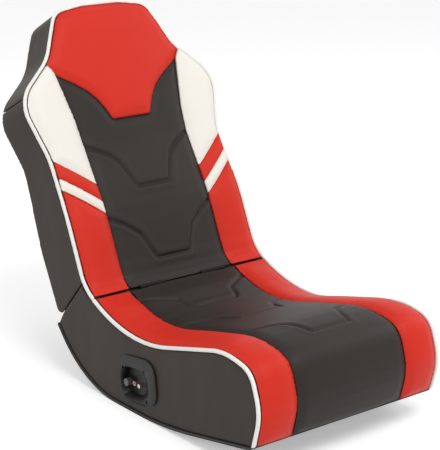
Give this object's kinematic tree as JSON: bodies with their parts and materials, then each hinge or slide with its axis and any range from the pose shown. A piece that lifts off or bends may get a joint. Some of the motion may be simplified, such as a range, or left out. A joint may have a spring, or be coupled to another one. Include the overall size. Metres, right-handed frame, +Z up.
{
  "type": "floor rocking chair",
  "caption": "Low floor rocking chair with a padded curved seat, a high padded back that folds forward, rocker base and a recessed sound control panel on its side.",
  "frame": {"origin": "centre of the bounding box on the floor plane", "axes": "+Z up, the sitter faces -Y, +X is the sitter's left"},
  "size_m": [0.4682, 0.8794, 0.7141],
  "materials": {
    "red_upholstery": "red polyurethane-coated fabric over foam, soft satin grain",
    "black_upholstery": "black polyurethane-coated fabric over foam, satin grain",
    "white_upholstery": "white polyurethane-coated fabric over foam, satin grain",
    "black_cover": "black polyurethane-coated cloth, fine grain",
    "white_piping": "white vinyl piping",
    "base_board": "black covered fibreboard, matt",
    "frame_board": "raw plywood",
    "foam": "upholstery foam",
    "hinge_steel": "zinc-plated steel",
    "panel_plastic": "black moulded plastic, fine texture",
    "knob_plastic": "dark grey plastic",
    "shaft_metal": "turned metal",
    "pot_plastic": "black plastic",
    "jack_metal": "nickel-plated brass",
    "jack_red": "red plastic",
    "jack_white": "white plastic",
    "circuit_green": "green circuit board",
    "amplifier_metal": "dark anodised aluminium",
    "speaker_metal": "black painted steel and ferrite",
    "speaker_paper": "black paper cone"
  },
  "bodies": {
    "seat": {"seat_bolster_left": "red_upholstery", "seat_bolster_right": "red_upholstery", "seat_center_panel": "black_upholstery", "seat_side_cover_left": "black_cover", "seat_side_cover_right": "black_cover", "seat_rear_cover": "black_cover", "seat_piping_left": "white_piping", "seat_piping_right": "white_piping", "rocker_board": "base_board", "seat_side_board_left": "frame_board", "seat_side_board_right": "frame_board", "seat_deck": "frame_board", "seat_front_rail": "frame_board", "seat_middle_rail": "frame_board", "seat_hinge_rail": "frame_board", "seat_rear_board": "frame_board", "seat_foam": "foam", "hinge_seat_leaves": "hinge_steel", "hinge_pins": "hinge_steel", "hinge_seat_screws": "hinge_steel", "panel_screws": "hinge_steel", "control_panel": "panel_plastic", "volume_pot": "pot_plastic", "jack_barrels": "jack_metal", "jack_insert_red": "jack_red", "jack_insert_white": "jack_white", "circuit_board": "circuit_green", "amplifier_parts": "amplifier_metal"},
    "backrest": {"back_side_boards": "frame_board", "back_side_foam": "foam", "back_board": "frame_board", "back_low_rail": "frame_board", "back_middle_rail": "frame_board", "back_shelf": "frame_board", "back_foam": "foam", "head_foam": "foam", "head_board": "frame_board", "hinge_back_leaves": "hinge_steel", "hinge_back_screws": "hinge_steel", "headrest_panel": "red_upholstery", "back_center_panel": "black_upholstery", "wing_left": "white_upholstery", "wing_right": "white_upholstery", "red_stripe_left": "red_upholstery", "red_stripe_right": "red_upholstery", "white_stripe_left": "white_upholstery", "white_stripe_right": "white_upholstery", "back_bolster_left": "red_upholstery", "back_bolster_right": "red_upholstery", "back_side_cover_left": "black_cover", "back_side_cover_right": "black_cover", "head_side_cover": "black_cover", "back_rear_cover": "black_cover", "back_split_cover": "black_cover", "back_piping": "white_piping", "speaker_baskets": "speaker_metal", "speaker_magnets": "speaker_metal", "speaker_cones": "speaker_paper"},
    "volume_knob": {"volume_knob": "knob_plastic", "knob_shaft": "shaft_metal"}
  },
  "joints": [
    {"name": "backrest_fold", "type": "hinge", "parent": "seat", "child": "backrest", "pos_m": [0, 0.0747, 0.19157], "axis": [1, 0, 0], "range_deg": [0, 100]},
    {"name": "volume_turn", "type": "hinge", "parent": "seat", "child": "volume_knob", "pos_m": [-0.2031, -0.03192, 0.05299], "axis": [1, 0, 0], "range_deg": [0, 300]}
  ]
}
